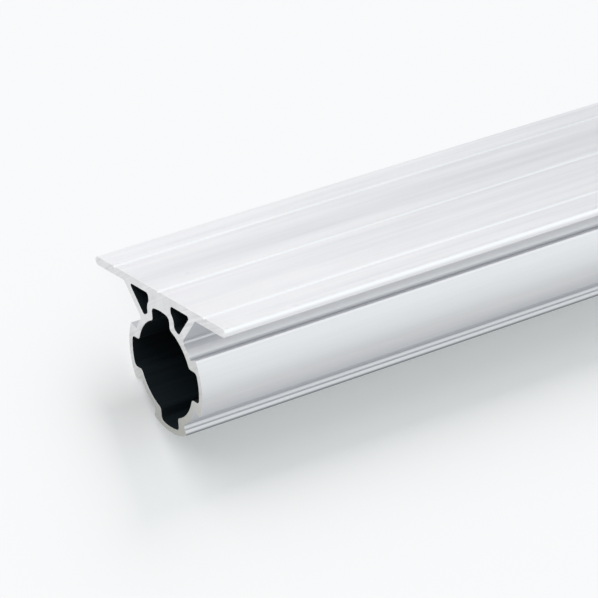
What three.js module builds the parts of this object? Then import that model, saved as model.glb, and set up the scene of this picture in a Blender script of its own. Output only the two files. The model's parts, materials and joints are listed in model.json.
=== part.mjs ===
// A length of flanged tube profile, extruded in one piece from aluminium: a round 28 mm tube with four
// raised lands, a flat flange over it on two slanting struts, and the same section from end to end.
// Millimetres. Y runs along the bar and Z is up. The section is drawn upright, with the flange level
// above the tube; the bar lies as it does unheld, rolled onto its left side. The origin is on the floor
// under the middle of the bar.
import * as THREE from 'three';

// The bar
const LENGTH = 500;

// The round tube: four lands carry the full diameter, and the tube is recessed between them
const TUBE_DIAMETER = 28;
const LAND_WIDTH = 12.4;
const LAND_NECK = 11;
const LAND_EDGE = 0.4;
const LAND_ROOT = 0.4;
const RECESS_DEPTH = 2.2;

// The fine line cut along each flank of the bottom land, a little over halfway up
const FLANK_LINE_PLACE = 0.57;
const FLANK_LINE_WIDTH = 0.4;
const FLANK_LINE_DEPTH = 0.15;

// The bore: a round hole with a flat-sided slot into the back of each land
const LAND_WALL = 1.2;
const SLOT_DEPTH = 2.55;
const SLOT_WIDTH = 6.7;
const SLOT_CORNER = 1.05;
const SLOT_LIP = 0.9;

// The flange, its marking grooves and its rounded edges
const FLANGE_WIDTH = 50;
const FLANGE_THICKNESS = 1.9;
const FLANGE_RISE = 3;
const FLANGE_EDGE_TOP = 0.8;
const FLANGE_EDGE_BOTTOM = 0.6;
const GROOVE_WIDTH = 1;
const GROOVE_DEPTH = 0.4;
const GROOVE_INSET = 7.75;

// The struts and the two triangular chambers that they close
const STRUT_ANGLE = 47.7;
const STRUT_THICKNESS = 1.6;
const STRUT_FILLET = 0.8;
const CHAMBER_ROOF = 1.7;
const CHAMBER_CORNER = 0.8;
const CHAMBER_TIP = 0.5;
const SLOT_WALL = 1.8;
const CORE_MARGIN = 0.9;

// The most that a facet may stand off its true arc
const ARC_TOLERANCE = 0.012;

const tubeRadius = TUBE_DIAMETER / 2;
const recessRadius = tubeRadius - RECESS_DEPTH;
const slotRadius = tubeRadius - LAND_WALL;
const boreRadius = slotRadius - SLOT_DEPTH;
const flangeTop = tubeRadius + FLANGE_RISE;
const flangeUnderside = flangeTop - FLANGE_THICKNESS;
const strutAngle = THREE.MathUtils.degToRad(STRUT_ANGLE);

const RIGHT = 0;
const UP = Math.PI / 2;
const LEFT = Math.PI;
const DOWN = -Math.PI / 2;

const point = (x, y) => new THREE.Vector2(x, y);
const axis = point(0, 0);
const alongRadius = (radius, across) => Math.sqrt(radius ** 2 - across ** 2);

// An edge of the section is a straight line or a circle, followed in one direction: a circle turns
// anticlockwise with turn 1 and clockwise with turn -1.
const line = (at, angle) => ({ at, way: point(Math.cos(angle), Math.sin(angle)) });
const lineThrough = (from, to) => line(from, to.clone().sub(from).angle());
const circle = (at, radius, turn = 1) => ({ at, radius, turn });

// The same edge moved to its left by a distance
function shifted(edge, toLeft) {
  if (edge.way) return { at: point(-edge.way.y, edge.way.x).multiplyScalar(toLeft).add(edge.at), way: edge.way };
  return circle(edge.at, edge.radius - edge.turn * toLeft, edge.turn);
}

function nearestOn(edge, spot) {
  const reach = spot.clone().sub(edge.at);
  if (edge.way) return edge.way.clone().multiplyScalar(reach.dot(edge.way)).add(edge.at);
  return reach.setLength(edge.radius).add(edge.at);
}

// The direction in which an edge is followed at a spot on it
function wayAt(edge, spot) {
  if (edge.way) return edge.way;
  const reach = spot.clone().sub(edge.at).normalize();
  return point(-reach.y, reach.x).multiplyScalar(edge.turn);
}

// Where two edges cross, at the crossing nearest to a spot
function crossing(a, b, spot) {
  if (a.way && b.way) {
    const gap = b.at.clone().sub(a.at);
    return a.way.clone().multiplyScalar(gap.cross(b.way) / a.way.cross(b.way)).add(a.at);
  }
  if (a.way) return crossing(b, a, spot);
  let middle, way, halfSquared;
  if (b.way) {
    middle = nearestOn(b, a.at);
    way = b.way;
    halfSquared = a.radius ** 2 - middle.distanceToSquared(a.at);
  } else {
    const between = b.at.clone().sub(a.at);
    const distance = between.length();
    const along = (distance ** 2 + a.radius ** 2 - b.radius ** 2) / (2 * distance);
    middle = between.clone().setLength(along).add(a.at);
    way = point(-between.y, between.x).normalize();
    halfSquared = a.radius ** 2 - along ** 2;
  }
  const half = Math.sqrt(halfSquared);
  const ends = [half, -half].map((s) => way.clone().multiplyScalar(s).add(middle));
  return ends[0].distanceTo(spot) < ends[1].distanceTo(spot) ? ends[0] : ends[1];
}

// Points along an arc, from just after its start up to its end
function arcPoints(centre, radius, turn, start, end) {
  const from = start.clone().sub(centre).angle();
  const to = end.clone().sub(centre).angle();
  const sweep = THREE.MathUtils.euclideanModulo(turn * (to - from), 2 * Math.PI);
  const widestFacet = 2 * Math.acos(1 - ARC_TOLERANCE / radius);
  const facets = Math.max(2, Math.ceil(sweep / widestFacet));
  return Array.from({ length: facets }, (_, i) => {
    const angle = from + (turn * sweep * (i + 1)) / facets;
    return point(Math.cos(angle), Math.sin(angle)).multiplyScalar(radius).add(centre);
  });
}

// The corner from one edge to the next: sharp, or rounded to a radius that touches both edges
function corner(a, b, { near, radius = 0 }) {
  const tip = crossing(a, b, near);
  if (radius === 0) return { start: tip, end: tip, points: [] };
  const turn = Math.sign(wayAt(a, tip).cross(wayAt(b, tip)));
  const centre = crossing(shifted(a, turn * radius), shifted(b, turn * radius), tip);
  const start = nearestOn(a, centre);
  const end = nearestOn(b, centre);
  return { start, end, points: arcPoints(centre, radius, turn, start, end) };
}

// How far a second spot lies ahead of a first one along an edge
function advance(edge, first, second) {
  if (edge.way) return second.clone().sub(first).dot(edge.way);
  const turned = edge.turn * (second.clone().sub(edge.at).angle() - first.clone().sub(edge.at).angle());
  return edge.radius * (THREE.MathUtils.euclideanModulo(turned + Math.PI, 2 * Math.PI) - Math.PI);
}

// A closed outline from steps: each has an edge and the corner from it to the next step's edge. An
// edge that its two corners leave no room for drops out, and its neighbours meet.
function outline(steps) {
  const corners = steps.map((step, i) => corner(step.edge, steps[(i + 1) % steps.length].edge, step));
  const room = steps.map(({ edge }, i) => advance(edge, corners.at(i - 1).end, corners[i].start));
  const least = room.indexOf(Math.min(...room));
  if (room[least] < 0) return outline(steps.filter((_, i) => i !== least));
  return steps.flatMap(({ edge }, i) => {
    const from = corners.at(i - 1).end;
    const to = corners[i].start;
    const run = edge.way ? [to] : arcPoints(edge.at, edge.radius, edge.turn, from, to);
    return [...run, ...corners[i].points];
  });
}

const turnedPoint = (p, quarter) => p.clone().rotateAround(axis, quarter * UP);
const mirroredPoint = (p) => point(-p.x, p.y);

// The steps of the other side of a section that is even about its middle. The first step's edge
// crosses the middle, and the last step's corner lies on it.
function mirroredSteps(steps) {
  return steps.slice(1).reverse().map(({ edge }, i, reversed) => {
    const { near, radius } = steps[reversed.length - 1 - i];
    const at = mirroredPoint(edge.at);
    const otherEdge = edge.way ? { at, way: point(edge.way.x, -edge.way.y) } : circle(at, edge.radius, edge.turn);
    return { edge: otherEdge, near: mirroredPoint(near), radius };
  });
}

// One flank of a land, from the land's edge in to its narrower neck. The land faces right before it
// is turned by quarters, and side is 1 above its middle and -1 below.
function landFlank(quarter, side) {
  const edgeAcross = (side * LAND_WIDTH) / 2;
  const rootAcross = (side * LAND_NECK) / 2;
  const edge = turnedPoint(point(alongRadius(tubeRadius, edgeAcross), edgeAcross), quarter);
  const root = turnedPoint(point(alongRadius(recessRadius, rootAcross), rootAcross), quarter);
  return { edge, root };
}

// The steps that follow a straight edge up to a V groove, down to the groove's floor and up again
function grooveSteps(edge, middle, width, depth) {
  const start = edge.way.clone().multiplyScalar(-width / 2).add(middle);
  const end = edge.way.clone().multiplyScalar(width / 2).add(middle);
  const floor = shifted({ at: middle, way: edge.way }, depth).at;
  return [
    { edge, near: start },
    { edge: lineThrough(start, floor), near: floor },
    { edge: lineThrough(floor, end), near: end },
  ];
}

function bodyOutline() {
  const land = circle(axis, tubeRadius);
  const recess = circle(axis, recessRadius);
  const bottom = landFlank(-1, 1);
  const lower = landFlank(0, -1);
  const upper = landFlank(0, 1);
  const strutFoot = point(Math.cos(strutAngle), Math.sin(strutAngle)).multiplyScalar(recessRadius);
  const strutHead = point(flangeUnderside / Math.tan(strutAngle), flangeUnderside);
  const flangeEnd = FLANGE_WIDTH / 2;
  const underside = line(point(0, flangeUnderside), RIGHT);
  const end = line(point(flangeEnd, 0), UP);
  const top = line(point(0, flangeTop), LEFT);
  const flank = lineThrough(bottom.edge, bottom.root);
  const flankLine = bottom.edge.clone().lerp(bottom.root, FLANK_LINE_PLACE);
  const sideGroove = point(flangeEnd - GROOVE_INSET, flangeTop);
  const [toMiddleGroove, intoMiddleGroove] = grooveSteps(top, top.at, GROOVE_WIDTH, GROOVE_DEPTH);

  const half = [
    { edge: land, near: bottom.edge, radius: LAND_EDGE },
    ...grooveSteps(flank, flankLine, FLANK_LINE_WIDTH, FLANK_LINE_DEPTH),
    { edge: flank, near: bottom.root, radius: LAND_ROOT },
    { edge: recess, near: lower.root, radius: LAND_ROOT },
    { edge: lineThrough(lower.root, lower.edge), near: lower.edge, radius: LAND_EDGE },
    { edge: land, near: upper.edge, radius: LAND_EDGE },
    { edge: lineThrough(upper.edge, upper.root), near: upper.root, radius: LAND_ROOT },
    { edge: recess, near: strutFoot, radius: STRUT_FILLET },
    { edge: line(axis, strutAngle), near: strutHead, radius: STRUT_FILLET },
    { edge: underside, near: point(flangeEnd, flangeUnderside), radius: FLANGE_EDGE_BOTTOM },
    { edge: end, near: point(flangeEnd, flangeTop), radius: FLANGE_EDGE_TOP },
    ...grooveSteps(top, sideGroove, GROOVE_WIDTH, GROOVE_DEPTH),
    toMiddleGroove,
    intoMiddleGroove,
  ];
  return outline([...half, ...mirroredSteps(half)]);
}

function boreOutline() {
  const side = SLOT_WIDTH / 2;
  const steps = [0, 1, 2, 3].flatMap((quarter) => {
    const turned = (x, y) => turnedPoint(point(x, y), quarter);
    const slotReach = alongRadius(slotRadius, side);
    const lipReach = alongRadius(boreRadius, side);
    return [
      { edge: circle(axis, slotRadius), near: turned(slotReach, side), radius: SLOT_CORNER },
      { edge: line(turned(0, side), LEFT + quarter * UP), near: turned(lipReach, side), radius: SLOT_LIP },
      { edge: circle(axis, boreRadius), near: turned(side, lipReach), radius: SLOT_LIP },
      { edge: line(turned(side, 0), UP + quarter * UP), near: turned(side, slotReach), radius: SLOT_CORNER },
    ];
  });
  return outline(steps);
}

// The chamber on the right: its floor is the tube, its slope the strut, its roof the flange, and its
// inner side a wall of even thickness round the corner of the top slot
function chamberOutline() {
  const cornerX = SLOT_WIDTH / 2 - SLOT_CORNER;
  const slotCorner = point(cornerX, alongRadius(slotRadius - SLOT_CORNER, cornerX));
  const strutFace = shifted(line(axis, strutAngle), STRUT_THICKNESS);
  const roof = line(point(0, flangeTop - CHAMBER_ROOF), LEFT);
  const core = line(point(SLOT_WIDTH / 2 + CORE_MARGIN, 0), DOWN);
  const wall = circle(slotCorner, SLOT_CORNER + SLOT_WALL, -1);
  const floor = circle(axis, recessRadius, -1);
  const wallFoot = point(slotCorner.x + wall.radius, recessRadius);
  const strutFoot = strutFace.way.clone().multiplyScalar(recessRadius);
  return outline([
    { edge: strutFace, near: crossing(strutFace, roof), radius: CHAMBER_TIP },
    { edge: roof, near: crossing(roof, core), radius: CHAMBER_CORNER },
    { edge: core, near: crossing(roof, core), radius: CHAMBER_CORNER },
    { edge: wall, near: wallFoot, radius: CHAMBER_CORNER },
    { edge: floor, near: strutFoot, radius: CHAMBER_CORNER },
  ]);
}

// The bar can't stand on its round belly: it rolls onto its left land and the left edge of the flange.
// Going anticlockwise round the section from its leftmost point, the floor's line is the first one
// with everything on its left that bridges open space.
function floorLine(points) {
  const nextAround = (from) =>
    points.reduce((best, p) => (best.clone().sub(from).cross(p.clone().sub(from)) < 0 ? p : best));
  let from = points.reduce((best, p) => (p.x < best.x ? p : best));
  let to = nextAround(from);
  while (to.distanceTo(from) < tubeRadius) [from, to] = [to, nextAround(to)];
  return lineThrough(from, to);
}

// The section turned and moved so that it rests on the floor line, with its box centred over zero
function profileGeometry() {
  const body = bodyOutline();
  const chamber = chamberOutline();
  const floor = floorLine(body);
  const rolled = (p) => p.clone().sub(floor.at).rotateAround(axis, -floor.way.angle());
  const { min, max } = new THREE.Box2().setFromPoints(body.map(rolled));
  const laid = (points) => points.map((p) => rolled(p).sub(point((min.x + max.x) / 2, min.y)));

  const section = new THREE.Shape(laid(body));
  section.holes.push(
    new THREE.Path(laid(boreOutline())),
    new THREE.Path(laid(chamber)),
    new THREE.Path(laid(chamber.map(mirroredPoint))),
  );
  const geometry = new THREE.ExtrudeGeometry(section, { depth: LENGTH, steps: 1, bevelEnabled: false });
  geometry.translate(0, 0, -LENGTH / 2);
  geometry.rotateX(UP);
  return geometry;
}

const anodisedAluminium = new THREE.MeshStandardMaterial({ color: 0xd3d6d8, roughness: 0.4, metalness: 1 });

const profile = new THREE.Mesh(profileGeometry(), anodisedAluminium);
profile.name = 'flanged_tube_profile';

const bar = new THREE.Group();
bar.add(profile);

export default bar;
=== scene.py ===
import cmath
import json
import math

import bpy
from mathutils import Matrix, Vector


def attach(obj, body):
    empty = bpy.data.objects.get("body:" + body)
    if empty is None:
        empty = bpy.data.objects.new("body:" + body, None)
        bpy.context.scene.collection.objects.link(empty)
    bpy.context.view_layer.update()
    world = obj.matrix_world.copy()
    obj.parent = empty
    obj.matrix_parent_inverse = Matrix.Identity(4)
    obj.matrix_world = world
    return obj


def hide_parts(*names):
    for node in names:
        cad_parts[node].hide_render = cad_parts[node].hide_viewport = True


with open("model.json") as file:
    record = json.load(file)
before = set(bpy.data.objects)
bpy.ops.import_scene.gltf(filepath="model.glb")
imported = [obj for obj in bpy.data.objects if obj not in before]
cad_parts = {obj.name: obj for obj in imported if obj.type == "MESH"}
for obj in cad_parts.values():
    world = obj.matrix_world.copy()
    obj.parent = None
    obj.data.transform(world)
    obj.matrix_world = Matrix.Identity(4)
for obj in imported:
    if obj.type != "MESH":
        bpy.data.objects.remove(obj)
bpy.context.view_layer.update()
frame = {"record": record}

# ---------------------------------------------------------------------------------------------------
# The camera. A long lens looks down on the near end of the bar, turned so that the flange lies over
# the tube. It shows a hand's breadth of the bar, and the rest runs out past the edge of the view.

# Metres, and degrees about X, Y and Z
CAMERA_PLACE = (0.033374, -0.559309, 0.644228)
CAMERA_TURN = (12.57574, -26.00303, 68.36468)
SENSOR_WIDTH = 36
LENS = 210.77

camera = bpy.data.objects.new("camera", bpy.data.cameras.new("camera"))
camera.data.sensor_width = SENSOR_WIDTH
camera.data.lens = LENS
camera.location = CAMERA_PLACE
camera.rotation_euler = [math.radians(angle) for angle in CAMERA_TURN]
bpy.context.scene.collection.objects.link(camera)
bpy.context.scene.camera = camera

# ---------------------------------------------------------------------------------------------------
# The bar's section. Aluminium is pressed through one die into a round tube with four raised lands, a
# flat flange over it on two slanting struts, and two small chambers between them. It is drawn upright
# round the tube's axis, in millimetres, as lines and circles whose corners are sharp or rounded.
LENGTH = 500

# The round tube: four lands carry the full diameter, and the tube is recessed between them. The upper
# edges of the two side lands are crisper than the others.
TUBE_DIAMETER = 28
LAND_WIDTH = 12.4
LAND_NECK = 11
LAND_EDGE = 0.4
LAND_EDGE_UPPER = 0.2
LAND_ROOT = 0.4
RECESS_DEPTH = 2.2

# The fine line cut along each flank of the bottom land, a little over halfway up
FLANK_LINE_PLACE = 0.57
FLANK_LINE_WIDTH = 0.4
FLANK_LINE_DEPTH = 0.15

# The bore: a round hole with a flat-sided slot into the back of each land
LAND_WALL = 1.2
SLOT_DEPTH = 2.55
SLOT_WIDTH = 6.7
SLOT_CORNER = 1.05
SLOT_LIP = 0.9

# The flange, its marking grooves and its rounded edges
FLANGE_WIDTH = 50
FLANGE_THICKNESS = 1.9
FLANGE_RISE = 3
FLANGE_EDGE_TOP = 0.95
FLANGE_EDGE_BOTTOM = 0.9
GROOVE_WIDTH = 1
GROOVE_DEPTH = 0.4
GROOVE_INSET = 7.75

# The struts and the two triangular chambers that they close
STRUT_ANGLE = 47.7
STRUT_THICKNESS = 1.6
STRUT_FILLET = 0.8
CHAMBER_ROOF = 1.7
CHAMBER_CORNER = 0.8
CHAMBER_TIP = 0.5
SLOT_WALL = 1.8
CORE_MARGIN = 0.9

# The most that a facet may stand off its true arc
ARC_TOLERANCE = 0.0015

tube_radius = TUBE_DIAMETER / 2
recess_radius = tube_radius - RECESS_DEPTH
slot_radius = tube_radius - LAND_WALL
bore_radius = slot_radius - SLOT_DEPTH
flange_top = tube_radius + FLANGE_RISE
flange_underside = flange_top - FLANGE_THICKNESS
flange_end = FLANGE_WIDTH / 2
strut_way = complex(math.cos(math.radians(STRUT_ANGLE)), math.sin(math.radians(STRUT_ANGLE)))


def unit(z):
    return z / abs(z)


def line(at, way):
    return {"at": at, "way": unit(way)}


def circle(at, radius, turn=1):
    return {"at": at, "radius": radius, "turn": turn}


def shifted(edge, to_left):
    if "way" in edge:
        return line(edge["at"] + 1j * edge["way"] * to_left, edge["way"])
    return circle(edge["at"], edge["radius"] - edge["turn"] * to_left, edge["turn"])


def nearest_on(edge, spot):
    reach = spot - edge["at"]
    if "way" in edge:
        return edge["at"] + edge["way"] * (reach * edge["way"].conjugate()).real
    return edge["at"] + edge["radius"] * unit(reach)


def heading(edge, spot):
    return edge["way"] if "way" in edge else 1j * edge["turn"] * unit(spot - edge["at"])


def crossing(a, b, spot):
    """Where two edges cross, at the crossing nearest to a spot."""
    if "way" in a and "way" in b:
        gap = (b["at"] - a["at"]) * b["way"].conjugate()
        return a["at"] + a["way"] * gap.imag / (a["way"] * b["way"].conjugate()).imag
    if "way" in a:
        a, b = b, a
    if "way" in b:
        middle, way = nearest_on(b, a["at"]), b["way"]
    else:
        between = b["at"] - a["at"]
        along = (abs(between) ** 2 + a["radius"] ** 2 - b["radius"] ** 2) / (2 * abs(between))
        middle, way = a["at"] + along * unit(between), 1j * unit(between)
    half = math.sqrt(a["radius"] ** 2 - abs(middle - a["at"]) ** 2)
    return min(middle + half * way, middle - half * way, key=lambda z: abs(z - spot))


def arc(centre, radius, turn, start, end):
    """Points along an arc, from just after its start up to its end."""
    sweep = cmath.phase(turned((end - centre) / (start - centre), turn)) % math.tau
    count = max(2, math.ceil(sweep / (2 * math.acos(1 - ARC_TOLERANCE / radius))))
    return [centre + (start - centre) * rotation(turn * sweep * (i + 1) / count) for i in range(count)]


def turned(z, turn):
    return z if turn > 0 else z.conjugate()


def rotation(angle):
    return complex(math.cos(angle), math.sin(angle))


def corner(a, b, near, radius):
    """From edge a to edge b: the point where a is left, the point where b is met, and those between."""
    tip = crossing(a, b, near)
    if not radius:
        return tip, tip, []
    turn = math.copysign(1, (heading(b, tip) / heading(a, tip)).imag)
    centre = crossing(shifted(a, turn * radius), shifted(b, turn * radius), tip)
    start, end = nearest_on(a, centre), nearest_on(b, centre)
    return start, end, arc(centre, radius, turn, start, end)


def outline(steps):
    """A closed outline from steps of (edge, where its next corner lies, that corner's radius)."""
    after = [edge for edge, _, _ in steps[1:] + steps[:1]]
    corners = [corner(edge, then, near, radius) for (edge, near, radius), then in zip(steps, after)]
    points = []
    for i, (edge, _, _) in enumerate(steps):
        start, end = corners[i - 1][1], corners[i][0]
        points += [end] if "way" in edge else arc(edge["at"], edge["radius"], edge["turn"], start, end)
        points += corners[i][2]
    return points


def mirrored(z):
    return -z.conjugate()


def mirrored_steps(steps):
    """The steps of the section's other side. The first edge and the last corner lie on its middle."""
    other = []
    for (edge, _, _), (_, near, radius) in zip(steps[:0:-1], steps[-2::-1]):
        flipped = (
            line(mirrored(edge["at"]), edge["way"].conjugate())
            if "way" in edge
            else circle(mirrored(edge["at"]), edge["radius"], edge["turn"])
        )
        other.append((flipped, mirrored(near), radius))
    return other


def across(radius, side):
    """The point of a circle that lies a distance to one side of the X axis."""
    return complex(math.sqrt(radius**2 - side**2), side)


def groove(middle):
    """A groove's right edge, the bottom of its V and its left edge."""
    half = GROOVE_WIDTH / 2
    bottom = complex(middle, flange_top - GROOVE_DEPTH)
    return complex(middle + half, flange_top), bottom, complex(middle - half, flange_top)


land, recess = circle(0, tube_radius), circle(0, recess_radius)
top, underside = line(1j * flange_top, -1), line(1j * flange_underside, 1)
edge_upper, root_upper = across(tube_radius, LAND_WIDTH / 2), across(recess_radius, LAND_NECK / 2)
edge_lower, root_lower = edge_upper.conjugate(), root_upper.conjugate()
edge_bottom, root_bottom = -1j * edge_upper, -1j * root_upper
side_right, side_floor, side_left = groove(flange_end - GROOVE_INSET)
middle_right, middle_floor, _ = groove(0)

flank_way = unit(root_bottom - edge_bottom)
line_middle = edge_bottom + (root_bottom - edge_bottom) * FLANK_LINE_PLACE
line_lower, line_upper = (line_middle + side * FLANK_LINE_WIDTH / 2 * flank_way for side in (-1, 1))
line_floor = line_middle + 1j * flank_way * FLANK_LINE_DEPTH

half_body = [
    (land, edge_bottom, LAND_EDGE),
    (line(edge_bottom, flank_way), line_lower, 0),
    (line(line_lower, line_floor - line_lower), line_floor, 0),
    (line(line_floor, line_upper - line_floor), line_upper, 0),
    (line(edge_bottom, flank_way), root_bottom, LAND_ROOT),
    (recess, root_lower, LAND_ROOT),
    (line(root_lower, edge_lower - root_lower), edge_lower, LAND_EDGE),
    (land, edge_upper, LAND_EDGE_UPPER),
    (line(edge_upper, root_upper - edge_upper), root_upper, LAND_ROOT),
    (recess, recess_radius * strut_way, STRUT_FILLET),
    (line(0, strut_way), strut_way * flange_underside / strut_way.imag, STRUT_FILLET),
    (underside, complex(flange_end, flange_underside), FLANGE_EDGE_BOTTOM),
    (line(flange_end, 1j), complex(flange_end, flange_top), FLANGE_EDGE_TOP),
    (top, side_right, 0),
    (line(side_right, side_floor - side_right), side_floor, 0),
    (line(side_floor, side_left - side_floor), side_left, 0),
    (top, middle_right, 0),
    (line(middle_right, middle_floor - middle_right), middle_floor, 0),
]
body = outline(half_body + mirrored_steps(half_body))

slot_side = SLOT_WIDTH / 2
bore_steps = []
for way in (1, 1j, -1, -1j):
    next_way = way * 1j
    bore_steps += [
        (circle(0, slot_radius), way * across(slot_radius, slot_side), SLOT_CORNER),
        (line(next_way * slot_side, -way), way * across(bore_radius, slot_side), SLOT_LIP),
        (circle(0, bore_radius), next_way * across(bore_radius, -slot_side), SLOT_LIP),
        (line(way * slot_side, next_way), next_way * across(slot_radius, -slot_side), SLOT_CORNER),
    ]
bore = outline(bore_steps)

corner_x = slot_side - SLOT_CORNER
slot_corner = complex(corner_x, math.sqrt((slot_radius - SLOT_CORNER) ** 2 - corner_x**2))
strut_face = shifted(line(0, strut_way), STRUT_THICKNESS)
roof = line(1j * (flange_top - CHAMBER_ROOF), -1)
core = line(slot_side + CORE_MARGIN, -1j)
wall = circle(slot_corner, SLOT_CORNER + SLOT_WALL, -1)
chamber = outline(
    [
        (strut_face, crossing(strut_face, roof, 0), CHAMBER_TIP),
        (roof, crossing(roof, core, 0), CHAMBER_CORNER),
        (core, crossing(roof, core, 0), CHAMBER_CORNER),
        (wall, slot_corner + wall["radius"], CHAMBER_CORNER),
        (circle(0, recess_radius, -1), strut_face["way"] * recess_radius, CHAMBER_CORNER),
    ]
)

# ---------------------------------------------------------------------------------------------------
# The finishes. The bar is anodised all over after it is pressed, then sawn to length, so its ends are
# bare metal. The record's flange face says how the bar has rolled and where it lies, which turns a
# place in the row into one on the upright section.
MM = 0.001
# How far the flange face's mount is to the right of the section's middle
FACE_MOUNT_X = 9

face = next(m for m in frame["record"]["mounts"] if m["name"] == "flange_face")
roll = unit(complex(face["axis"][2], -face["axis"][0]))
lie = complex(face["pos_m"][0], face["pos_m"][2]) - roll * complex(FACE_MOUNT_X, flange_top) * MM


def add(tree, kind, inputs=None, **settings):
    node = tree.nodes.new(kind)
    for name, value in settings.items():
        setattr(node, name, value)
    for socket, value in (inputs or {}).items():
        if isinstance(value, bpy.types.NodeSocket):
            tree.links.new(value, node.inputs[socket])
        else:
            node.inputs[socket].default_value = value
    return node


def colour(hex_value):
    parts = [int(hex_value[i : i + 2], 16) / 255 for i in (1, 3, 5)]
    return [c / 12.92 if c <= 0.04045 else ((c + 0.055) / 1.055) ** 2.4 for c in parts] + [1]


def finish(name):
    """A new material, its tree, and the place on the upright section in millimetres, Y along the bar."""
    made = bpy.data.materials.new(name)
    made.use_nodes = True
    tree = made.node_tree
    tree.nodes.clear()
    placed = {
        "Vector": add(tree, "ShaderNodeTexCoord").outputs["Object"],
        "Location": (lie.real, 0, lie.imag),
        "Rotation": (0, -cmath.phase(roll), 0),
        "Scale": (MM, MM, MM),
    }
    upright = add(tree, "ShaderNodeMapping", placed, vector_type="TEXTURE").outputs[0]
    return made, tree, upright


# Satin anodised aluminium: etched metal under a clear hard film, a cool grey-white that blurs what it
# mirrors. Its tone runs from 0, which is dull, to 1, which is bright. The die's fine lines are
# hundredths of a millimetre apart, so they are drawn a quarter of a millimetre apart.
DULL = "#C4C6CA"
BRIGHT = "#FDFCFE"
BLUR = 0.47
RELIEF_STRENGTH = 0.4
# How fast a noise changes for each millimetre across, along and up the section
LINE_PACE = (4, 0.04, 4)
LINE_TONE = 0.13
LINE_DEPTH = 0.01

# A colour mix goes by its sockets' numbers, because its other kinds have sockets of the same names
MIX_A, MIX_B, MIXED = 6, 7, 2

skin, tree, upright = finish("satin_anodised_aluminium")
spot = add(tree, "ShaderNodeSeparateXYZ", {0: upright}).outputs
to_side = add(tree, "ShaderNodeMath", {0: spot["X"]}, operation="ABSOLUTE").outputs[0]
fine = add(tree, "ShaderNodeMapping", {"Vector": upright, "Scale": LINE_PACE}).outputs[0]
lines = add(tree, "ShaderNodeTexNoise", {"Vector": fine, "Scale": 1, "Detail": 2}).outputs["Fac"]
tone = add(tree, "ShaderNodeMath", {0: lines, 1: LINE_TONE}, operation="MULTIPLY").outputs[0]

# It is darker in the corners under the flange and down the tube's lower sides, a painted shade, and the
# bottom land is brighter again, with less of that painted shade. Each step has the heights on the section
# where it starts and ends, and the tone under and over it.
PAINTED_SHADE_STEPS = {
    "corners under the flange": (7.7, 8.8, 0.69, 0.26),
    "lower sides": (-6, -3, -0.8, 0),
    "bottom land": (-10.9, -10.4, 0.5, 0),
}
# Each step adds painted shade by its height on the section
for start, end, under, over in PAINTED_SHADE_STEPS.values():
    limits = {"From Min": start, "From Max": end, "To Min": under, "To Max": over}
    painted_shade_step = add(tree, "ShaderNodeMapRange", {"Value": spot["Z"], **limits}).outputs[0]
    tone = add(tree, "ShaderNodeMath", {0: tone, 1: painted_shade_step}, operation="ADD").outputs[0]

# The upper edge of each side land and the wall over it are painted bright, a painted highlight, with a dark
# line of painted shade in the crease where they meet. Each belt has its height on the section, half its
# width, half its width with its faded edges, and its tone. The crease's one stays on the wall, nearer to the
# middle than the land.
PAINTED_BELTS = {
    "edge and wall": (6.55, 0.75, 0.95, 0.25),
    "painted_crease_shade": (5.7, 0.2, 0.5, -0.65),
}
WALL_X, LAND_X = 10.4, 10.9

# Painted highlight on each side land's edge and wall, and painted shade in the crease
painted_belts = {}
for name, (height, half, faded, strength) in PAINTED_BELTS.items():
    away = add(tree, "ShaderNodeMath", {0: spot["Z"], 1: height}, operation="SUBTRACT").outputs[0]
    away = add(tree, "ShaderNodeMath", {0: away}, operation="ABSOLUTE").outputs[0]
    limits = {"From Min": half, "From Max": faded, "To Min": strength, "To Max": 0}
    painted_belts[name] = add(tree, "ShaderNodeMapRange", {"Value": away, **limits}).outputs[0]
limits = {"From Min": LAND_X, "From Max": WALL_X}
on_wall = add(tree, "ShaderNodeMapRange", {"Value": to_side, **limits}).outputs[0]
painted_crease_shade = add(tree, "ShaderNodeMath", {0: painted_belts["painted_crease_shade"], 1: on_wall}, operation="MULTIPLY").outputs[0]
for belt in (painted_belts["edge and wall"], painted_crease_shade):
    tone = add(tree, "ShaderNodeMath", {0: tone, 1: belt}, operation="ADD").outputs[0]

# On the flange's top the lines gather into faint streaks one to three millimetres wide and a few centimetres
# long, with a duller band left of the middle groove and a brighter right half, a painted light. The near end
# is brightest, and the grooves are brighter than the face between them, a painted highlight.
STREAK_PACE = (0.55, 0.025, 0.55)
STREAK_TONE = 0.38
STREAK_BLUR = -0.1
LEFT_TONE, RIGHT_TONE = 0.31, 0.4
LEFT_ENDS, RIGHT_STARTS = 8, 12
# The band's middle, half its width without and with its faded edges, and the share of tone it keeps
BAND_X = -8
BAND_HALF, BAND_FADED = 1.5, 5
BAND_SHARE = 0.75
NEAR_TONE, FAR_TONE = 0.11, -0.175
# How far from the near end the far tone is reached
FAR_FROM_END = 110
GROOVE_HIGHLIGHT_TONE = 0.1
# How far under the flange's top its grooves start and reach their tone
GROOVE_STARTS, GROOVE_FULL = 0.05, 0.2
# How far over the flange's underside its top's tone starts and is reached
TOP_STARTS, TOP_FULL = 0.2, 0.8

wide = add(tree, "ShaderNodeMapping", {"Vector": upright, "Scale": STREAK_PACE}).outputs[0]
streaks = add(tree, "ShaderNodeTexNoise", {"Vector": wide, "Scale": 1, "Detail": 2}).outputs["Fac"]
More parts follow.
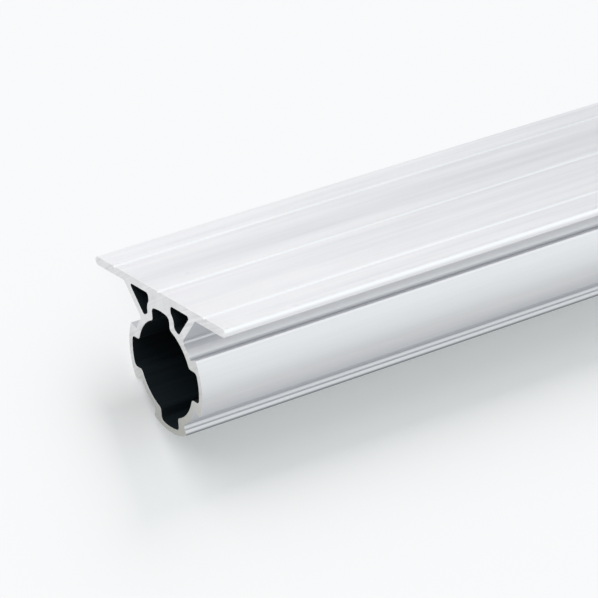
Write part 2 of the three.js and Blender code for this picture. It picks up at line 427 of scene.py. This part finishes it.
# Painted light: the right half of the flange's top is brighter
limits = {"From Min": LEFT_ENDS, "From Max": RIGHT_STARTS, "To Min": LEFT_TONE, "To Max": RIGHT_TONE}
painted_light_sides = add(
    tree, "ShaderNodeMapRange", {"Value": spot["X"], **limits}, interpolation_type="SMOOTHSTEP"
).outputs[0]
top_tone = add(
    tree, "ShaderNodeMath", {0: streaks, 1: STREAK_TONE, 2: painted_light_sides}, operation="MULTIPLY_ADD"
).outputs[0]
away = add(tree, "ShaderNodeMath", {0: spot["X"], 1: BAND_X}, operation="SUBTRACT").outputs[0]
away = add(tree, "ShaderNodeMath", {0: away}, operation="ABSOLUTE").outputs[0]
limits = {"From Min": BAND_HALF, "From Max": BAND_FADED, "To Min": BAND_SHARE, "To Max": 1}
band = add(tree, "ShaderNodeMapRange", {"Value": away, **limits}, interpolation_type="SMOOTHSTEP").outputs[0]
top_tone = add(tree, "ShaderNodeMath", {0: top_tone, 1: band}, operation="MULTIPLY").outputs[0]
limits = {
    "From Min": -LENGTH / 2,
    "From Max": -LENGTH / 2 + FAR_FROM_END,
    "To Min": NEAR_TONE,
    "To Max": FAR_TONE,
}
down_bar = add(tree, "ShaderNodeMapRange", {"Value": spot["Y"], **limits}).outputs[0]
# Painted highlight: the grooves are brighter than the face between them
limits = {
    "From Min": flange_top - GROOVE_FULL,
    "From Max": flange_top - GROOVE_STARTS,
    "To Min": GROOVE_HIGHLIGHT_TONE,
    "To Max": 0,
}
painted_groove_highlight = add(tree, "ShaderNodeMapRange", {"Value": spot["Z"], **limits}).outputs[0]
for change in (down_bar, painted_groove_highlight):
    top_tone = add(tree, "ShaderNodeMath", {0: top_tone, 1: change}, operation="ADD").outputs[0]
limits = {"From Min": flange_underside + TOP_STARTS, "From Max": flange_underside + TOP_FULL}
on_top = add(tree, "ShaderNodeMapRange", {"Value": spot["Z"], **limits}).outputs[0]
tone = add(tree, "ShaderNodeMath", {0: on_top, 1: top_tone, 2: tone}, operation="MULTIPLY_ADD").outputs[0]

# Handling has rubbed the flange's two edges rougher and left faint specks about half a millimetre across,
# here and there; the edges' brighter tone is a painted highlight. The bottom land's two corners are painted
# dark, a painted contact shadow.
EDGE_HIGHLIGHT_TONE = 0.3
RUB_BLUR = 0.15
# How far in from the flange's edge the rubbing and painted highlight start and are full
RUB_AND_HIGHLIGHT_STARTS, RUB_AND_HIGHLIGHT_FULL = 0.6, 0.1
SPECK_SPACING = 9
# A speck's full and faded radius, as shares of the spacing
SPECK_FULL, SPECK_FADED = 0.02, 0.06
SPECK_TONE = -0.17
# Painted contact shadow on the bottom land's two corners
PAINTED_CONTACT_SHADE = "#8F9195"
# The height, and the distance to the side, where the painted contact shadow starts and is full
CONTACT_SHADE_HEIGHT, CONTACT_SHADE_FULL_HEIGHT = -12, -12.35
CONTACT_SHADE_X, CONTACT_SHADE_FULL_X = 5.3, 5.7

limits = {"From Min": flange_end - RUB_AND_HIGHLIGHT_STARTS, "From Max": flange_end - RUB_AND_HIGHLIGHT_FULL}
rubbed_and_highlit = add(tree, "ShaderNodeMapRange", {"Value": to_side, **limits}).outputs[0]
scattered = add(tree, "ShaderNodeTexVoronoi", {"Vector": upright, "Scale": 1 / SPECK_SPACING}).outputs
limits = {"From Min": SPECK_FADED, "From Max": SPECK_FULL}
specks = add(tree, "ShaderNodeMapRange", {"Value": scattered["Distance"], **limits}).outputs[0]
# The flange edges' brighter tone is a painted highlight
for mark, strength in ((rubbed_and_highlit, EDGE_HIGHLIGHT_TONE), (specks, SPECK_TONE)):
    tone = add(tree, "ShaderNodeMath", {0: mark, 1: strength, 2: tone}, operation="MULTIPLY_ADD").outputs[0]
# Painted shade: the bottom land's outer corners are darkened like a contact shadow
limits = {"From Min": CONTACT_SHADE_HEIGHT, "From Max": CONTACT_SHADE_FULL_HEIGHT}
low_down = add(tree, "ShaderNodeMapRange", {"Value": spot["Z"], **limits}).outputs[0]
limits = {"From Min": CONTACT_SHADE_X, "From Max": CONTACT_SHADE_FULL_X}
far_out = add(tree, "ShaderNodeMapRange", {"Value": to_side, **limits}).outputs[0]
painted_contact_shade = add(tree, "ShaderNodeMath", {0: low_down, 1: far_out}, operation="MULTIPLY").outputs[0]

shades = {MIX_A: colour(DULL), MIX_B: colour(BRIGHT)}
metal = add(
    tree, "ShaderNodeMix", {"Factor": tone, **shades}, data_type="RGBA", clamp_factor=True
).outputs[MIXED]
shades = {MIX_A: metal, MIX_B: colour(PAINTED_CONTACT_SHADE)}
metal = add(tree, "ShaderNodeMix", {"Factor": painted_contact_shade, **shades}, data_type="RGBA").outputs[MIXED]
blur = add(
    tree, "ShaderNodeMath", {0: streaks, 1: STREAK_BLUR, 2: BLUR}, operation="MULTIPLY_ADD"
).outputs[0]
blur = add(tree, "ShaderNodeMath", {0: rubbed_and_highlit, 1: RUB_BLUR, 2: blur}, operation="MULTIPLY_ADD").outputs[0]
relief = {"Height": lines, "Distance": LINE_DEPTH * MM, "Strength": RELIEF_STRENGTH}
bump = add(tree, "ShaderNodeBump", relief).outputs[0]
looks = {"Base Color": metal, "Metallic": 1, "Roughness": blur, "Normal": bump}
shader = add(tree, "ShaderNodeBsdfPrincipled", looks)
add(tree, "ShaderNodeOutputMaterial", {"Surface": shader.outputs[0]})

# Mill-finish bore: bare drawn walls that light hardly reaches, coloured almost black, a painted shade. Only
# the die's lines along them show.
BORE_DARK = "#10161A"
BORE_LIGHT = "#1E262A"
BORE_LINE_PACE = (1.5, 0.01, 1.5)
BORE_BLUR = 0.6
BORE_GLOSS = 0.2

# The bore's near-black colour is painted shade
painted_dark_bore, tree, upright = finish("mill_finish_bore_in_painted_shade")
long_way = add(tree, "ShaderNodeMapping", {"Vector": upright, "Scale": BORE_LINE_PACE}).outputs[0]
lines = add(tree, "ShaderNodeTexNoise", {"Vector": long_way, "Scale": 1, "Detail": 3}).outputs["Fac"]
shades = {MIX_A: colour(BORE_DARK), MIX_B: colour(BORE_LIGHT)}
metal = add(tree, "ShaderNodeMix", {"Factor": lines, **shades}, data_type="RGBA").outputs[MIXED]
looks = {"Base Color": metal, "Roughness": BORE_BLUR, "Specular IOR Level": BORE_GLOSS}
shader = add(tree, "ShaderNodeBsdfPrincipled", looks)
add(tree, "ShaderNodeOutputMaterial", {"Surface": shader.outputs[0]})

# Sawn aluminium: bare bright metal, cut by a round blade far wider than the bar. Its teeth leave shallow arcs
# a tenth of a millimetre apart, drawn half a millimetre apart, and a dull bloom. The near end's lower part is
# painted a darker greyish tone, a painted shade.
SAWN_DULL = "#E4E4E4"
SAWN_BRIGHT = "#F8F8F9"
SAWN_GLINT = "#DCDCDC"
PAINTED_END_SHADE = "#C6C5C0"
# Places across, along and up the section, in millimetres
BLADE_MIDDLE = (90, 0, -150)
END_SHADE_MIDDLE = (5, -LENGTH / 2, -20)
# How far from its middle the painted shade is full and ends, and how far its edge wavers
END_SHADE_FULL, END_SHADE_ENDS = 11, 34
END_SHADE_WAVER = 5
ARC_PACE = 1.6
ARC_DEPTH = 0.03
BLOOM_PACE = 0.35
# The arcs' and the bloom's noise, added up, where the metal is dullest and where it is brightest
DULLEST_SUM, BRIGHTEST_SUM = 0.6, 1.4
SAWN_BLUR = 0.45

sawn, tree, upright = finish("sawn_aluminium")
on_end = add(tree, "ShaderNodeVectorMath", {0: upright, 1: (1, 0, 1)}, operation="MULTIPLY").outputs[0]
blade = add(tree, "ShaderNodeVectorMath", {0: on_end, 1: BLADE_MIDDLE}, operation="DISTANCE").outputs["Value"]
arcs = add(
    tree, "ShaderNodeTexNoise", {"W": blade, "Scale": ARC_PACE, "Detail": 2}, noise_dimensions="1D"
).outputs["Fac"]
bloom = add(tree, "ShaderNodeTexNoise", {"Vector": upright, "Scale": BLOOM_PACE, "Detail": 3}).outputs["Fac"]
tone = add(tree, "ShaderNodeMath", {0: arcs, 1: bloom}, operation="ADD").outputs[0]
limits = {"From Min": DULLEST_SUM, "From Max": BRIGHTEST_SUM}
tone = add(tree, "ShaderNodeMapRange", {"Value": tone, **limits}).outputs[0]
shades = {MIX_A: colour(SAWN_DULL), MIX_B: colour(SAWN_BRIGHT)}
metal = add(tree, "ShaderNodeMix", {"Factor": tone, **shades}, data_type="RGBA").outputs[MIXED]
# Painted shade over the near end's lower part
away = add(tree, "ShaderNodeVectorMath", {0: upright, 1: END_SHADE_MIDDLE}, operation="DISTANCE").outputs["Value"]
away = add(tree, "ShaderNodeMath", {0: bloom, 1: END_SHADE_WAVER, 2: away}, operation="MULTIPLY_ADD").outputs[0]
limits = {"From Min": END_SHADE_ENDS, "From Max": END_SHADE_FULL}
painted_end_shade = add(tree, "ShaderNodeMapRange", {"Value": away, **limits}).outputs[0]
shades = {MIX_A: metal, MIX_B: colour(PAINTED_END_SHADE)}
metal = add(tree, "ShaderNodeMix", {"Factor": painted_end_shade, **shades}, data_type="RGBA").outputs[MIXED]
relief = {"Height": arcs, "Distance": ARC_DEPTH * MM, "Strength": RELIEF_STRENGTH}
bump = add(tree, "ShaderNodeBump", relief).outputs[0]
looks = {
    "Base Color": metal,
    "Metallic": 1,
    "Roughness": SAWN_BLUR,
    "Specular Tint": colour(SAWN_GLINT),
    "Normal": bump,
}
shader = add(tree, "ShaderNodeBsdfPrincipled", looks)
add(tree, "ShaderNodeOutputMaterial", {"Surface": shader.outputs[0]})

# ---------------------------------------------------------------------------------------------------
# The bar itself: one length of that section, pressed in one piece and sawn square. The body's, the
# bore's and the chambers' outlines are drawn out together, the rims at the two cuts are broken a
# little, as by a file, and the ends are filled.
EDGE_BREAK = 0.05
# Points nearer than this, in metres, become one
WELD_DISTANCE = 1e-7
# Edges that bend less than this are shaded smooth
SMOOTH_ANGLE = math.radians(25)
# A face is bare metal where its normal points further along the bar than this, as on the broken rims
END_LEAN = 0.5

loops = [(body, False), (bore, True), (chamber, True), ([mirrored(z) for z in reversed(chamber)], True)]
vertices, edges, outward, inner = [], [], [], []
for points, is_hole in loops:
    first = len(vertices)
    count = len(points)
    # The body goes round one way and the holes the other, so that every wall faces the air
    area = sum((a.conjugate() * b).imag for a, b in zip(points, points[1:] + points[:1]))
    points = points if (area > 0) != is_hole else points[::-1]
    laid = [z * MM * roll + lie for z in points]
    for i, z in enumerate(laid):
        # The way a point goes, and how far, when both its edges move out by one
        before, after = unit(z - laid[i - 1]), unit(laid[(i + 1) % count] - z)
        side = -1j * unit(before + after)
        reach = side / (side * (-1j * before).conjugate()).real
        vertices.append((z.real, z.imag, 0))
        edges.append((first + (i + 1) % count, first + i))
        outward.append((reach.real, reach.imag, 0))
        inner.append(is_hole)
mesh = bpy.data.meshes.new("section")
mesh.from_pydata(vertices, edges, [])
flat = [number for way in outward for number in way]
mesh.attributes.new("outward", "FLOAT_VECTOR", "POINT").data.foreach_set("vector", flat)
mesh.attributes.new("inner", "BOOLEAN", "POINT").data.foreach_set("value", inner)

tree = bpy.data.node_groups.new("drawn_bar", "GeometryNodeTree")
sockets = {}
for name, kind, direction in (
    ("Section", "NodeSocketGeometry", "INPUT"),
    ("Length", "NodeSocketFloat", "INPUT"),
    ("Edge break", "NodeSocketFloat", "INPUT"),
    ("Skin", "NodeSocketMaterial", "INPUT"),
    ("Inside", "NodeSocketMaterial", "INPUT"),
    ("Sawn", "NodeSocketMaterial", "INPUT"),
    ("Bar", "NodeSocketGeometry", "OUTPUT"),
):
    sockets[name] = tree.interface.new_socket(name=name, in_out=direction, socket_type=kind).identifier
given = add(tree, "NodeGroupInput").outputs
outward_way = add(
    tree, "GeometryNodeInputNamedAttribute", {"Name": "outward"}, data_type="FLOAT_VECTOR"
).outputs[0]
is_inner = add(tree, "GeometryNodeInputNamedAttribute", {"Name": "inner"}, data_type="BOOLEAN").outputs[0]
out_by = add(
    tree, "ShaderNodeVectorMath", {0: outward_way, "Scale": given["Edge break"]}, operation="SCALE"
).outputs[0]
in_by = add(tree, "ShaderNodeVectorMath", {0: out_by, "Scale": -1}, operation="SCALE").outputs[0]
two_breaks = add(tree, "ShaderNodeMath", {0: given["Edge break"], 1: 2}, operation="MULTIPLY").outputs[0]
straight = add(tree, "ShaderNodeMath", {0: given["Length"], 1: two_breaks}, operation="SUBTRACT").outputs[0]
along = add(tree, "ShaderNodeCombineXYZ", {"Z": 1}).outputs[0]

rim = add(tree, "GeometryNodeSetPosition", {"Geometry": given["Section"], "Offset": in_by}).outputs[0]
first_break = add(
    tree,
    "GeometryNodeExtrudeMesh",
    {"Mesh": rim, "Offset": along, "Offset Scale": given["Edge break"]},
    mode="EDGES",
).outputs
widened = add(
    tree,
    "GeometryNodeSetPosition",
    {"Geometry": first_break["Mesh"], "Selection": first_break["Top"], "Offset": out_by},
).outputs[0]
drawn = add(
    tree,
    "GeometryNodeExtrudeMesh",
    {"Mesh": widened, "Selection": first_break["Top"], "Offset": along, "Offset Scale": straight},
    mode="EDGES",
).outputs
last_break = add(
    tree,
    "GeometryNodeExtrudeMesh",
    {"Mesh": drawn["Mesh"], "Selection": drawn["Top"], "Offset": along, "Offset Scale": given["Edge break"]},
    mode="EDGES",
).outputs
walls = add(
    tree,
    "GeometryNodeSetPosition",
    {"Geometry": last_break["Mesh"], "Selection": last_break["Top"], "Offset": in_by},
).outputs[0]

rim_curve = add(tree, "GeometryNodeMeshToCurve", {"Mesh": rim}).outputs[0]
near_end = add(tree, "GeometryNodeFillCurve", {"Curve": rim_curve}, mode="TRIANGLES").outputs[0]
flipped_end = add(tree, "GeometryNodeFlipFaces", {"Mesh": near_end}).outputs[0]
shift = add(tree, "ShaderNodeCombineXYZ", {"Z": given["Length"]}).outputs[0]
far_end = add(tree, "GeometryNodeTransform", {"Geometry": near_end, "Translation": shift}).outputs[0]

joined = add(tree, "GeometryNodeJoinGeometry")
for geometry in (walls, flipped_end, far_end):
    tree.links.new(geometry, joined.inputs[0])
welded = add(
    tree, "GeometryNodeMergeByDistance", {"Geometry": joined.outputs[0], "Distance": WELD_DISTANCE}
).outputs[0]
half_length = add(tree, "ShaderNodeMath", {0: given["Length"], 1: 0.5}, operation="MULTIPLY").outputs[0]
centred = add(tree, "ShaderNodeCombineXYZ", {"Y": half_length}).outputs[0]
laid_down = add(
    tree,
    "GeometryNodeTransform",
    {"Geometry": welded, "Translation": centred, "Rotation": (math.pi / 2, 0, 0)},
).outputs[0]
edge_angle = add(tree, "GeometryNodeInputMeshEdgeAngle").outputs["Unsigned Angle"]
is_soft = add(
    tree, "FunctionNodeCompare", {0: edge_angle, 1: SMOOTH_ANGLE}, data_type="FLOAT", operation="LESS_THAN"
).outputs[0]
smooth = laid_down
for domain, is_smooth in (("FACE", True), ("EDGE", is_soft)):
    smooth = add(
        tree, "GeometryNodeSetShadeSmooth", {"Geometry": smooth, "Shade Smooth": is_smooth}, domain=domain
    ).outputs[0]

facing = add(tree, "ShaderNodeSeparateXYZ", {0: add(tree, "GeometryNodeInputNormal").outputs[0]}).outputs["Y"]
lengthwise = add(tree, "ShaderNodeMath", {0: facing}, operation="ABSOLUTE").outputs[0]
is_end = add(
    tree, "FunctionNodeCompare", {0: lengthwise, 1: END_LEAN}, data_type="FLOAT", operation="GREATER_THAN"
).outputs[0]
coated = add(tree, "GeometryNodeRealizeInstances", {"Geometry": smooth}).outputs[0]
for which, coat in ((True, "Skin"), (is_inner, "Inside"), (is_end, "Sawn")):
    coated = add(
        tree, "GeometryNodeSetMaterial", {"Geometry": coated, "Selection": which, "Material": given[coat]}
    ).outputs[0]
add(tree, "NodeGroupOutput", {"Bar": coated})

drawing = bpy.data.objects.new("drawing", mesh)
bpy.context.scene.collection.objects.link(drawing)
modifier = drawing.modifiers.new("drawn_bar", "NODES")
modifier.node_group = tree
modifier[sockets["Length"]] = LENGTH * MM
modifier[sockets["Edge break"]] = EDGE_BREAK * MM
modifier[sockets["Skin"]] = skin
modifier[sockets["Inside"]] = painted_dark_bore
modifier[sockets["Sawn"]] = sawn
finished = bpy.data.meshes.new_from_object(drawing.evaluated_get(bpy.context.evaluated_depsgraph_get()))
bpy.data.objects.remove(drawing)
finished.materials.pop(index=0)
for name in ("outward", "inner"):
    finished.attributes.remove(finished.attributes[name])
finished.name = "flanged_tube"
bar = bpy.data.objects.new("flanged_tube", finished)
bpy.context.scene.collection.objects.link(bar)
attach(bar, "root")
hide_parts("flanged_tube_profile")

# ---------------------------------------------------------------------------------------------------
# The stage, in metres: a table covered with white paper under an even, pale surround, with one softbox
# above the bar's left side. Away from the bar and its shadow the paper fades to one plain pale tone.
FLOOR_HALF = 4
PALE = "#F9FAFB"
PAPER = "#FDFEFE"
# The strip of paper beside the bar that keeps the most of its shadow, and how soon that fades beyond it
STRIP_X, STRIP_HALF = 0.0215, 0.0113
STRIP_PAST_END = 0.008
FADE_LENGTH = 0.009
SHADOW_KEPT = 0.88


def seen_rays(tree):
    """1 on rays that show the stage, straight, mirrored or let through, and 0 on those that light by it."""
    rays = add(tree, "ShaderNodeLightPath").outputs
    shown = rays["Is Camera Ray"]
    for kind in ("Is Glossy Ray", "Is Transmission Ray"):
        shown = add(tree, "ShaderNodeMath", {0: shown, 1: rays[kind]}, operation="ADD").outputs[0]
    return shown


floor_mesh = bpy.data.meshes.new("floor")
floor_corners = [(x * FLOOR_HALF, y * FLOOR_HALF, 0) for x, y in ((-1, -1), (1, -1), (1, 1), (-1, 1))]
floor_mesh.from_pydata(floor_corners, [], [(0, 1, 2, 3)])
paper = bpy.data.materials.new("white_paper")
paper.use_nodes = True
tree = paper.node_tree
tree.nodes.clear()
place = add(tree, "ShaderNodeTexCoord").outputs["Object"]
away = add(tree, "ShaderNodeVectorMath", {0: place, 1: (STRIP_X, 0, 0)}, operation="SUBTRACT").outputs[0]
away = add(tree, "ShaderNodeVectorMath", {0: away}, operation="ABSOLUTE").outputs[0]
strip = (STRIP_HALF, LENGTH * MM / 2 + STRIP_PAST_END, 0)
away = add(tree, "ShaderNodeVectorMath", {0: away, 1: strip}, operation="SUBTRACT").outputs[0]
away = add(tree, "ShaderNodeVectorMath", {0: away, 1: (0, 0, 0)}, operation="MAXIMUM").outputs[0]
away = add(tree, "ShaderNodeVectorMath", {0: away}, operation="LENGTH").outputs["Value"]
fade = add(tree, "ShaderNodeMath", {0: away, 1: -1 / FADE_LENGTH}, operation="MULTIPLY").outputs[0]
fade = add(tree, "ShaderNodeMath", {0: fade}, operation="EXPONENT").outputs[0]
fade = add(tree, "ShaderNodeMath", {0: fade, 1: -SHADOW_KEPT, 2: 1}, operation="MULTIPLY_ADD").outputs[0]
fade = add(tree, "ShaderNodeMath", {0: fade, 1: seen_rays(tree)}, operation="MULTIPLY").outputs[0]
matt = add(tree, "ShaderNodeBsdfDiffuse", {"Color": colour(PAPER)}).outputs[0]
glow = add(tree, "ShaderNodeEmission", {"Color": colour(PALE)}).outputs[0]
mixed = add(tree, "ShaderNodeMixShader", {0: fade, 1: matt, 2: glow}).outputs[0]
add(tree, "ShaderNodeOutputMaterial", {"Surface": mixed})
floor_mesh.materials.append(paper)
floor = bpy.data.objects.new("floor", floor_mesh)
bpy.context.scene.collection.objects.link(floor)

# The surround's strength goes by the angle over the bar, every 30 degrees from the right-hand horizon
# to the left-hand one. The bar shows all of it, but it lights the paper less from the viewer's side.
SURROUND = "#FAFEFE"
STRENGTHS = (0.25, 0.88, 0.88, 1.15, 1.08, 0.95, 0.95)
# A curve holds nothing above 1, so it gives this share of the strength
CURVE_SHARE = 0.5
VIEWER_SIDE_SHARE = 0.2
# How far a direction leans along the bar, to the viewer or away, when it is wholly on that side
SIDE_LEAN = 0.4

world = bpy.data.worlds.new("surround")
bpy.context.scene.world = world
world.use_nodes = True
tree = world.node_tree
tree.nodes.clear()
way = add(tree, "ShaderNodeSeparateXYZ", {0: add(tree, "ShaderNodeTexCoord").outputs["Generated"]}).outputs
angle = add(tree, "ShaderNodeMath", {0: way["Z"], 1: way["X"]}, operation="ARCTAN2").outputs[0]
half_turns = add(tree, "ShaderNodeMath", {0: angle, 1: math.pi}, operation="DIVIDE").outputs[0]
by_angle = add(tree, "ShaderNodeFloatCurve", {"Value": half_turns})
points = by_angle.mapping.curves[0].points
for _ in STRENGTHS[2:]:
    points.new(0, 0)
for i, (point, strength) in enumerate(zip(points, STRENGTHS)):
    point.location = (i / (len(STRENGTHS) - 1), strength * CURVE_SHARE)
    point.handle_type = "VECTOR"
by_angle.mapping.update()
limits = {"From Min": -SIDE_LEAN, "From Max": SIDE_LEAN, "To Min": VIEWER_SIDE_SHARE, "To Max": 1}
share = add(tree, "ShaderNodeMapRange", {"Value": way["Y"], **limits}).outputs[0]
share = add(tree, "ShaderNodeMath", {0: share, 1: seen_rays(tree)}, operation="MAXIMUM").outputs[0]
share = add(tree, "ShaderNodeMath", {0: share, 1: 1 / CURVE_SHARE}, operation="MULTIPLY").outputs[0]
strength = add(tree, "ShaderNodeMath", {0: by_angle.outputs[0], 1: share}, operation="MULTIPLY").outputs[0]
light = add(tree, "ShaderNodeBackground", {"Color": colour(SURROUND), "Strength": strength}).outputs[0]
add(tree, "ShaderNodeOutputWorld", {"Surface": light})

# The softbox, in metres and watts. It is so near that the flange would mirror it as a burnt-out patch,
# so the metal shows only the surround.
SOFTBOX_WIDTH = 0.7
SOFTBOX_POWER = 4
SOFTBOX_DISTANCE = 0.9
SOFTBOX_WAY = (-0.643, -0.6, 0.766)
AIM = (0, -0.18, 0)

softbox = bpy.data.lights.new("softbox", "AREA")
softbox.shape = "DISK"
softbox.size = SOFTBOX_WIDTH
softbox.energy = SOFTBOX_POWER
stand = bpy.data.objects.new("softbox", softbox)
stand.visible_glossy = False
stand.location = Vector(AIM) + Vector(SOFTBOX_WAY).normalized() * SOFTBOX_DISTANCE
stand.rotation_euler = (Vector(AIM) - stand.location).to_track_quat("-Z", "Y").to_euler()
bpy.context.scene.collection.objects.link(stand)

bpy.context.scene.view_settings.view_transform = "Standard"
